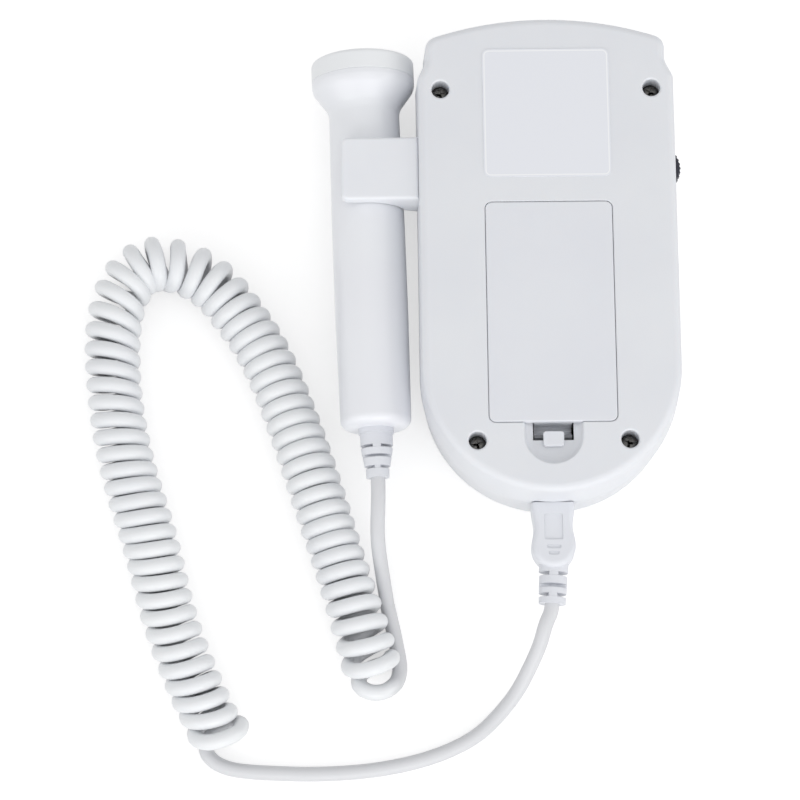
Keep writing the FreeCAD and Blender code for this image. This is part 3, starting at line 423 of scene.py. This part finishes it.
cordSettings = {
    "leadDiameter": 4.15,
    "handleLeadDiameter": 4.0255,
    "coilWire": 4.48,
    "coilLift": 0.1,
    "axisResolution": 24,
    "curlResolution": 4,
    "handleResolution": 12,
    # how many points keep the lead's thickness before the coil and after it, and how many lead over to the wire's
    "leadPoints": 4,
    "endPoints": 2,
    "growthPoints": 3,
    "turnPoints": 14,
    "firstPoint": -4,
    "lastPoint": 799,
    # One row for a turn of the curl, where a turn is counted at its top: the turn's number, how far along the axis
    # its top lies, its radius, how far its top leans towards the far end, and how far its right side does.
    # Lengths are in mm and angles in degrees.
    "turns": [
        (-1, -6.4, 6.1, -28, 16), (0, -0.4, 6.2, -25, 10), (1, 5.9, 6.0, -16, 7), (2, 12.4, 5.8, -9, 6),
        (4, 23.45, 5.5, -5, 6), (6, 33.0, 5.4, -2.5, 6), (9, 46.55, 5.55, -0.5, 6), (12, 60.4, 5.55, 2.5, 6),
        (16, 78.4, 5.4, 5, 5), (20, 96.4, 5.4, 2, 5), (22, 105.4, 5.4, 0, 5), (23, 110.0, 5.5, -1, 6.5),
        (24, 114.75, 5.6, -7, 11), (25, 119.95, 5.75, -8.5, 13.5), (26, 125.5, 5.85, -10, 16),
        (27, 131.3, 5.9, -13.5, 20), (28, 137.3, 5.9, -11.5, 14), (29, 142.8, 5.65, 0, 6.5), (30, 147.65, 5.75, -2, 0),
        (31, 153.4, 5.8, -2, -7), (32, 159.0, 5.8, -3.5, -7.5), (33, 164.35, 5.75, -2, -7.5),
        (36, 179.65, 5.6, 2.5, -5), (40, 199.35, 5.7, 5.5, -2), (44, 218.5, 5.85, 11, -1),
        (48, 237.65, 5.7, 17.5, 2), (51, 252.6, 5.65, 19, 3), (53, 262.85, 5.65, 18.5, 2),
        (55, 273.15, 5.7, 23, -1), (56, 278.5, 5.65, 28, -4), (57, 284.4, 5.7, 33, 8), (58, 290.4, 5.7, 36, 10),
    ],
}
coilAxis = [
    (-50.1, -112.4, 8.1), (-54.0, -98.7, 8.1), (-61.1, -75.2, 8.1), (-70.0, -46.4, 8.1), (-77.9, -24.7, 8.1),
    (-85.2, -12.2, 8.1), (-96.1, 1.9, 8.1), (-114.4, 6.3, 8.1), (-122.3, -8.9, 8.1), (-122.1, -31.7, 8.1),
    (-118.3, -54.1, 8.1), (-111.3, -75.8, 8.1), (-106.2, -98.4, 8.1), (-98.3, -118.7, 8.1), (-93.2, -128.4, 8.1),
    (-91.9, -136.0, 8.1),
]
probeLeadRoute = [
    (-48.15, -59.2, 17.3), (-48.0, -65.0, 17.3), (-48.6, -75.9, 13.7), (-47.2, -85.4, 8.0), (-45.8, -93.6, 4.2),
]
loopIntoCoil = [
    (-45.8, -93.6, 4.2), (-44.4, -99.5, 2.4), (-43.5, -104.2, 2.1), (-42.6, -109.1, 2.2), (-42.6, -112.1, 2.9),
    (-43.3, -114.9, 4.2), (-45.1, -117.0, 6.0), (-47.3, -118.4, 7.2), (-50.2, -118.8, 8.2), (-52.7, -117.8, 8.0),
    (-54.0, -116.2, 6.7), (-54.0, -114.6, 5.0), (-53.8, -113.0, 3.4), (-52.6, -111.7, 2.5), (-50.9, -110.9, 2.3),
    (-49.1, -110.2, 2.3), (-47.2, -109.7, 2.6), (-45.7, -109.1, 4.2),
]
loopOutOfCoil = [
    (-88.4, -130.3, 10.7), (-87.1, -129.1, 9.2), (-86.5, -127.6, 7.4), (-86.7, -126.4, 5.5), (-87.7, -125.9, 3.9),
    (-89.1, -126.1, 2.8), (-90.7, -127.0, 2.4), (-92.4, -127.8, 2.3), (-94.1, -128.5, 2.3), (-95.2, -129.5, 2.3),
    (-96.0, -130.8, 2.3), (-96.4, -132.2, 2.2),
]
mainLeadRoute = [
    (-96.2, -133.7, 2.1), (-95.5, -135.1, 2.1), (-93.5, -136.9, 2.1), (-90.4, -138.3, 2.1), (-85.8, -139.2, 2.1),
    (-78.9, -139.7, 2.1), (-66.1, -140.3, 2.1), (-50.2, -139.5, 2.1), (-34.7, -136.4, 2.1), (-22.1, -130.9, 2.2),
    (-14.9, -124.0, 3.2), (-10.1, -118.2, 5.8), (-6.8, -112.3, 9.6), (-4.0, -106.7, 13.6), (-2.6, -101.5, 16.4),
    (-0.8, -98.0, 17.0), (-0.67, -95.73, 17.0),
]


def splineObject(name, places, radii=None, resolution=4):
    # a NURBS tube through control points in mm; with no radii it is the bare line
    data = bpy.data.curves.new(name, "CURVE")
    data.dimensions = "3D"
    data.resolution_u = resolution
    spline = data.splines.new("NURBS")
    spline.points.add(len(places) - 1)
    for i, place in enumerate(places):
        spline.points[i].co = (*(Vector(place) * mm), 1.0)
        spline.points[i].radius = radii[i] * mm if radii else 1.0
    spline.order_u = 3
    spline.use_endpoint_u = True
    if radii:
        data.use_fill_caps = True
        data.bevel_depth = 1.0
        data.bevel_resolution = 5
    return placedObject(name, data)


def centreLine(name, places, resolution=4):
    guide = splineObject(name + "_guide", places, None, resolution)
    line = [vertex.co.copy() for vertex in evaluatedMesh(guide).vertices]
    bpy.data.objects.remove(guide)
    return line


def lineLength(line):
    return sum((b - a).length for a, b in zip(line, line[1:]))


def slopeAt(rows, index, column):
    # the slope of a column at a row, from the rows beside it
    before = rows[max(index - 1, 0)]
    here = rows[index]
    after = rows[min(index + 1, len(rows) - 1)]
    if before is here or after is here:
        return (after[column] - before[column]) / (after[0] - before[0])
    back = (here[column] - before[column]) / (here[0] - before[0])
    ahead = (after[column] - here[column]) / (after[0] - here[0])
    return (back * (after[0] - here[0]) + ahead * (here[0] - before[0])) / (after[0] - before[0])


def rowAt(rows, turn):
    # every column of the table at a turn, with smooth cubics between the rows
    index = max(i for i, row in enumerate(rows[:-1]) if row[0] <= turn)
    low, high = rows[index], rows[index + 1]
    span = high[0] - low[0]
    u = (turn - low[0]) / span
    values = []
    for column in range(1, len(low)):
        start, end = slopeAt(rows, index, column) * span, slopeAt(rows, index + 1, column) * span
        step = high[column] - low[column]
        values.append(low[column] + u * (start + u * (3 * step - 2 * start - end + u * (start + end - 2 * step))))
    return values


def coilPoints(settings):
    # the helix is wound round the axis, which is read off its own spline
    line = [point / mm for point in centreLine("coil_axis", coilAxis, settings["axisResolution"])]
    travelled = [0.0]
    for a, b in zip(line, line[1:]):
        travelled.append(travelled[-1] + (b - a).length)
    floor = settings["coilWire"] / 2 + settings["coilLift"]
    swell = 1 / math.cos(math.pi / settings["turnPoints"])
    points = []
    index = 1
    for count in range(settings["firstPoint"], settings["lastPoint"] + 1):
        turn = count / settings["turnPoints"]
        top, radius, lean, skew = rowAt(settings["turns"], turn)
        lean, skew = math.radians(lean), math.radians(skew)
        reach = top - radius * math.sin(lean)
        while travelled[index] < reach and index < len(line) - 1:
            index += 1
        part = (reach - travelled[index - 1]) / (travelled[index] - travelled[index - 1])
        centre = line[index - 1] + (line[index] - line[index - 1]) * part
        along = (line[index] - line[index - 1]).normalized()
        across = along.cross(Vector((0, 0, 1)))
        angle = math.radians(90) + 2 * math.pi * turn
        side = across * math.cos(skew) + along * math.sin(skew)
        place = centre + radius * swell * (math.cos(angle) * side + math.sin(angle) * math.sin(lean) * along)
        place.z = floor + radius * swell * math.cos(lean) * (1 + math.sin(angle))
        points.append(tuple(place))
    return points


def cordMesh(name, places, radii, resolution, finish):
    tube = splineObject(name, places, radii, resolution)
    mesh = evaluatedMesh(tube)
    bpy.data.objects.remove(tube)
    mesh.name = name
    mesh.shade_smooth()
    only(mesh, plastics[finish])
    return placedObject(name, mesh), centreLine(name, places, resolution)


def addCurlyCord(settings):
    coil = coilPoints(settings)
    places = loopIntoCoil + coil + loopOutOfCoil + mainLeadRoute
    lead = settings["leadDiameter"] / 2
    wire = settings["coilWire"] / 2
    before, steps = settings["leadPoints"], settings["growthPoints"]
    growth = [lead + (wire - lead) * step / (steps + 1) for step in range(1, steps + 1)]
    thick = len(loopIntoCoil) - before - steps + len(coil) + len(loopOutOfCoil) - settings["endPoints"]
    radii = [lead] * before + growth + [wire] * thick + growth[::-1]
    radii += [lead] * (len(places) - len(radii))
    return cordMesh("curly_cord", places, radii, settings["curlResolution"], "pvc_sheath")


def addHandleLead(settings):
    radii = [settings["handleLeadDiameter"] / 2] * len(probeLeadRoute)
    return cordMesh("handle_lead", probeLeadRoute, radii, settings["handleResolution"], "pvc_lead")


uncut = 9.0  # mm, a limit wider than any sleeve
webInset = 0.02
coreInset = 0.3
sleeveSettings = {
    # Each ring is (start, end, radius at its start, radius at its end) in mm along the lead. Each web joins two rings
    # as (start, end, half width, half height): the narrow sides alternate, which lets the sleeve bend.
    "handle_sleeve": {
        "foot": (-48.48, -46.6, 17.3), "lean": 1.426, "rounding": 0.42, "core": 1.5, "oval": 0.84,
        "rings": [(-1.2, 1.05, 4.9, 4.9), (1.05, 4.45, 4.55, 4.5), (5.3, 7.2, 4.45, 4.15), (8.0, 10.3, 4.0, 3.6),
                  (11.1, 13.4, 3.3, 3.2)],
        "webs": [(4.2, 5.5, 1.15, uncut), (7.0, 8.2, uncut, 1.2), (10.1, 11.3, 0.8, uncut)],
    },
    "plug_sleeve": {
        "foot": (0.0, -85.1, 17.0), "lean": -3.6, "rounding": 0.42, "core": 1.5, "oval": 0.84,
        "rings": [(-0.9, 2.3, 4.1, 4.05), (3.4, 5.6, 3.9, 3.9), (6.7, 8.3, 3.9, 3.85), (9.35, 11.0, 3.8, 3.75)],
        "webs": [(2.1, 3.6, 1.25, uncut), (5.4, 6.9, uncut, 1.2), (8.1, 9.5, 1.15, uncut)],
    },
}


def addLayer(mesh, start, end, wide, narrow, oval, limits, rounding, sides=48):
    # an oval plate with rounded rims, cut down to the limits in width and height
    loops = []
    for along, radius in ((start, wide), (end, narrow)):
        loop = []
        for i in range(sides):
            angle = 2 * math.pi * i / sides
            x = max(-limits[0], min(limits[0], radius * math.cos(angle)))
            z = max(-limits[1], min(limits[1], oval * radius * math.sin(angle)))
            loop.append(mesh.verts.new((x * mm, -along * mm, z * mm)))
        loops.append(loop)
    mesh.faces.new(loops[0])
    mesh.faces.new(loops[1][::-1])
    rims = []
    for i in range(sides):
        after = (i + 1) % sides
        mesh.faces.new((loops[0][after], loops[0][i], loops[1][i], loops[1][after]))
        rims += [mesh.edges.get((loop[i], loop[after])) for loop in loops]
    if rounding:
        bmesh.ops.bevel(mesh, geom=rims, offset=rounding * mm, segments=3, profile=0.5, affect="EDGES",
                        clamp_overlap=True)


def addSleeve(name, settings):
    # the ribbed sleeve that keeps a lead from kinking where it leaves a hard piece
    build = bmesh.new()
    for start, end, wide, narrow in settings["rings"]:
        addLayer(build, start, end, wide, narrow, settings["oval"], (uncut, uncut), settings["rounding"])
    for start, end, halfWidth, halfHeight in settings["webs"]:
        radius = min(ring[2] for ring in settings["rings"] if ring[0] < end and ring[1] > start)
        radius -= webInset
        addLayer(build, start, end, radius, radius, settings["oval"], (halfWidth, halfHeight), 0)
    first, last = settings["rings"][0], settings["rings"][-1]
    core = settings["core"]
    addLayer(build, first[0], last[1] - coreInset, core, core, 1.0, (uncut, uncut), 0, sides=24)
    bmesh.ops.recalc_face_normals(build, faces=build.faces)
    place = Matrix.Translation(Vector(settings["foot"]) * mm) @ Matrix.Rotation(math.radians(settings["lean"]), 4, "Z")
    bmesh.ops.transform(build, matrix=place, verts=build.verts)
    data = bpy.data.meshes.new(name)
    build.to_mesh(data)
    build.free()
    data.shade_smooth()
    data.set_sharp_from_angle(angle=math.radians(50))
    only(data, plastics["pvc_moulding"])
    return placedObject(name, data)


handleSleeve = addSleeve("handle_sleeve", sleeveSettings["handle_sleeve"])
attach(handleSleeve, "probe")
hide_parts("probe_relief")
plugSleeve = addSleeve("plug_sleeve", sleeveSettings["plug_sleeve"])
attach(plugSleeve, "plug")
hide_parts("plug_relief")
print("sleeves", len(handleSleeve.data.polygons) + len(plugSleeve.data.polygons), "faces")


curlyCord, curlyLine = addCurlyCord(cordSettings)
handleLead, handleLine = addHandleLead(cordSettings)
print("cords", round(lineLength(curlyLine), 3), round(lineLength(handleLine), 3), "m,",
      len(curlyCord.data.polygons), "faces")

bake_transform(curlyCord)
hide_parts("main_lead", "coiled_cord")
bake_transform(handleLead)
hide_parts("probe_lead")


screwSettings = {
    "places": [(29.5, 47.3), (-29.5, 47.3), (20.9, -53.6), (-20.9, -53.6)],
    "top": 29.2,
    "foot": 12.5,
    "headHeight": 1.55,
    # radius and height of the head's outline, from its underside to its middle
    "head": [(0.0, -1.6), (2.38, -1.6), (2.38, -0.75), (2.25, -0.4), (1.9, -0.12), (1.4, 0.0), (0.0, 0.0)],
    "crossLength": 2.9,
    "crossWidth": 0.7,
    "crossDepth": 0.7,
    "shankRadius": 1.2,
    "seed": 4,
}


def turnedMesh(name, outline, segments=48):
    # a closed solid of revolution about Z from (radius, height) pairs in mm that start and end on the axis
    rings = outline[1:-1]
    vertices = [(0, 0, outline[0][1] * mm), (0, 0, outline[-1][1] * mm)]
    for radius, height in rings:
        for i in range(segments):
            angle = 2 * math.pi * i / segments
            vertices.append((radius * mm * math.cos(angle), radius * mm * math.sin(angle), height * mm))
    faces = []
    for i in range(segments):
        after = (i + 1) % segments
        faces.append((0, 2 + after, 2 + i))
        for ring in range(len(rings) - 1):
            low, high = 2 + ring * segments, 2 + (ring + 1) * segments
            faces.append((low + i, low + after, high + after, high + i))
        last = 2 + (len(rings) - 1) * segments
        faces.append((last + i, last + after, 1))
    mesh = bpy.data.meshes.new(name)
    mesh.from_pydata(vertices, [], faces)
    return mesh


def socketNamed(tree, name, kind, value=None):
    item = tree.interface.new_socket(name=name, in_out="INPUT", socket_type=kind)
    if value is not None:
        item.default_value = value
    return item.identifier


def screwTree(settings):
    # puts one screw with a cross recess on each point, each turned by chance as a driver leaves it
    tree = bpy.data.node_groups.new("screws", "GeometryNodeTree")
    tree.interface.new_socket(name="Geometry", in_out="INPUT", socket_type="NodeSocketGeometry")
    tree.interface.new_socket(name="Geometry", in_out="OUTPUT", socket_type="NodeSocketGeometry")
    sockets = {
        "Head": socketNamed(tree, "Head", "NodeSocketObject"),
        "Material": socketNamed(tree, "Material", "NodeSocketMaterial"),
        "Cross": socketNamed(tree, "Cross", "NodeSocketVector"),
        "Shank Radius": socketNamed(tree, "Shank Radius", "NodeSocketFloat"),
        "Shank Length": socketNamed(tree, "Shank Length", "NodeSocketFloat"),
        "Seed": socketNamed(tree, "Seed", "NodeSocketInt", settings["seed"]),
    }
    given = addNode(tree, "NodeGroupInput").outputs
    head = addNode(tree, "GeometryNodeObjectInfo", {}, {"Object": given["Head"]})
    bar = addNode(tree, "GeometryNodeMeshCube", {}, {"Size": given["Cross"]})
    turned = addNode(tree, "GeometryNodeTransform", {"Rotation": (0, 0, math.pi / 2)},
                     {"Geometry": bar.outputs["Mesh"]})
    cut = addNode(tree, "GeometryNodeMeshBoolean", {"operation": "DIFFERENCE"}, {"Mesh 1": head.outputs["Geometry"]})
    tree.links.new(bar.outputs["Mesh"], cut.inputs["Mesh 2"])
    tree.links.new(turned.outputs["Geometry"], cut.inputs["Mesh 2"])
    shank = addNode(tree, "GeometryNodeMeshCylinder", {"Vertices": 24},
                    {"Radius": given["Shank Radius"], "Depth": given["Shank Length"]})
    half = addNode(tree, "ShaderNodeMath",
                   {"operation": "MULTIPLY_ADD", 1: -0.5, 2: -settings["headHeight"] * mm},
                   {0: given["Shank Length"]})
    drop = addNode(tree, "ShaderNodeCombineXYZ", {}, {"Z": half.outputs[0]})
    lowered = addNode(tree, "GeometryNodeTransform", {},
                      {"Geometry": shank.outputs["Mesh"], "Translation": drop.outputs[0]})
    screw = addNode(tree, "GeometryNodeJoinGeometry", {}, {"Geometry": cut.outputs["Mesh"]})
    tree.links.new(lowered.outputs["Geometry"], screw.inputs["Geometry"])
    points = addNode(tree, "GeometryNodeMeshToPoints", {}, {"Mesh": given["Geometry"]})
    spin = addNode(tree, "FunctionNodeRandomValue", {"data_type": "FLOAT"}, {"Seed": given["Seed"]})
    spin.inputs[3].default_value = math.pi / 2
    about = addNode(tree, "ShaderNodeCombineXYZ", {}, {"Z": spin.outputs[1]})
    placed = addNode(tree, "GeometryNodeInstanceOnPoints", {},
                     {"Points": points.outputs["Points"], "Instance": screw.outputs["Geometry"],
                      "Rotation": about.outputs[0]})
    real = addNode(tree, "GeometryNodeRealizeInstances", {}, {"Geometry": placed.outputs["Instances"]})
    dressed = addNode(tree, "GeometryNodeSetMaterial", {},
                      {"Geometry": real.outputs["Geometry"], "Material": given["Material"]})
    addNode(tree, "NodeGroupOutput", {}, {"Geometry": dressed.outputs["Geometry"]})
    return tree, sockets


def addCaseScrews(settings):
    points = bpy.data.meshes.new("screw_points")
    points.from_pydata([(x * mm, y * mm, settings["top"] * mm) for x, y in settings["places"]], [], [])
    head = placedObject("screw_head", turnedMesh("screw_head", settings["head"]))
    screws = placedObject("case_screw_heads", points)
    tree, sockets = screwTree(settings)
    repeat = screws.modifiers.new("screws", "NODES")
    repeat.node_group = tree
    values = {
        "Head": head,
        "Material": darkScrew,
        "Cross": tuple(side * mm for side in
                       (settings["crossLength"], settings["crossWidth"], 2 * settings["crossDepth"])),
        "Shank Radius": settings["shankRadius"] * mm,
        "Shank Length": (settings["top"] - settings["foot"] - settings["headHeight"]) * mm,
    }
    for name, value in values.items():
        repeat[sockets[name]] = value
    mesh = evaluatedMesh(screws)
    screws.modifiers.clear()
    screws.data = mesh
    mesh.name = "case_screw_heads"
    mesh.shade_smooth()
    mesh.set_sharp_from_angle(angle=math.radians(35))
    bpy.data.objects.remove(head)
    return screws


caseScrews = addCaseScrews(screwSettings)
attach(caseScrews, "case")
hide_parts("case_screws")
print("screws", len(caseScrews.data.polygons), "faces")


lightSettings = {
    "skyLevel": 0.7,
    "paper": "#cfcfcf",
    "paperGlow": 0.56,
    "floorSide": 3.0,
    "floorDrop": 0.00002,
    "aim": (-0.04, -0.03, 0.01),
    "lamps": {
        # low and broad from the foot of the object, so that the rounded rims shine
        "foot_lamp": {"place": (0.3, -1.3, 0.5), "size": 1.0, "power": 5.4},
        "foot_left_lamp": {"place": (-0.9, -1.1, 0.55), "size": 1.0, "power": 3.6},
        "right_lamp": {"place": (1.4, -0.25, 0.6), "size": 1.0, "power": 3.8},
        "left_lamp": {"place": (-1.5, -0.1, 0.5), "size": 1.0, "power": 1.0},
        "ceiling_lamp": {"place": (0.3, -0.3, 1.8), "size": 0.8, "power": 1.3},
    },
}


def seenRay(tree):
    # 1 for a ray that shows the surface itself, straight or in a mirror or through glass
    ray = addNode(tree, "ShaderNodeLightPath").outputs
    either = combine(tree, "MAXIMUM", ray["Is Camera Ray"], ray["Is Glossy Ray"])
    return combine(tree, "MAXIMUM", either, ray["Is Transmission Ray"])


def addFloor(paper, glow, side, drop):
    mesh = bpy.data.meshes.new("floor")
    mesh.from_pydata([(-side, -side, 0), (side, -side, 0), (side, side, 0), (-side, side, 0)], [], [(0, 1, 2, 3)])
    floor = placedObject("floor", mesh)
    floor.location.z = -drop
    material, tree, shader = newMaterial("floor_paper")
    shader.inputs["Base Color"].default_value = hexToLinear(paper)
    shader.inputs["Roughness"].default_value = 0.9
    tree.links.new(combine(tree, "MULTIPLY", seenRay(tree), glow), shader.inputs["Emission Strength"])
    shader.inputs["Emission Color"].default_value = (1, 1, 1, 1)
    only(mesh, material)


def addWorld(level):
    world = bpy.data.worlds.new("studio")
    scene.world = world
    world.use_nodes = True
    tree = world.node_tree
    sky = tree.nodes["Background"]
    sky.inputs["Color"].default_value = (1, 1, 1, 1)
    tree.links.new(ramp(tree, seenRay(tree), 0.0, 1.0, level, 1.0), sky.inputs["Strength"])


def addLamp(name, aim, place, size, power):
    data = bpy.data.lights.new(name, "AREA")
    data.shape = "SQUARE"
    data.size = size
    data.energy = power
    lamp = placedObject(name, data)
    lamp.location = place
    lamp.rotation_euler = (Vector(aim) - Vector(place)).to_track_quat("-Z", "Y").to_euler()


addFloor(lightSettings["paper"], lightSettings["paperGlow"], lightSettings["floorSide"], lightSettings["floorDrop"])
addWorld(lightSettings["skyLevel"])
for name, settings in lightSettings["lamps"].items():
    addLamp(name, lightSettings["aim"], **settings)
print("floor and lights set")


def dress(node, material):
    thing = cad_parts[node]
    if not thing.material_slots:
        thing.data.materials.append(material)
    for place in thing.material_slots:
        place.material = material


finishes = {
    "rear_cover": plastics["satin_abs"],
    "front_cover": plastics["satin_abs"],
    "battery_door": plastics["door_abs"],
    "battery_door_latch": plastics["latch_abs"],
    "probe_clip": plastics["clip_abs"],
    "rear_label": labelMaterial,
    "probe_body": plastics["polished_abs"],
    "probe_face": plastics["face_abs"],
    "plug_body": plastics["pvc_moulding"],
    "volume_wheel": plastics["navy_nylon"],
    "button_switches": plastics["black_nylon"],
    "volume_potentiometer": plastics["black_nylon"],
    "earphone_jack": plastics["black_nylon"],
    "power_button": plastics["button_abs"],
    "mode_button": plastics["button_abs"],
    "transducer_backing": plastics["filled_epoxy"],
    "transducer_crystals": crystalMaterial,
    "display_window": windowMaterial,
    "lcd_module": displayMaterial,
    "main_board": boardMaterial,
    "speaker": coneMaterial,
    "battery_cell_left": cellMaterial,
    "battery_cell_right": cellMaterial,
    "board_screws": zincScrew,
    "clip_screws": zincScrew,
    "plug_shell": nickelShell,
    "probe_socket": nickelShell,
    "bridge_contact": nickelStrip,
    "negative_contact": nickelStrip,
    "positive_contact": nickelStrip,
}
for node, material in finishes.items():
    dress(node, material)
print("finishes set")
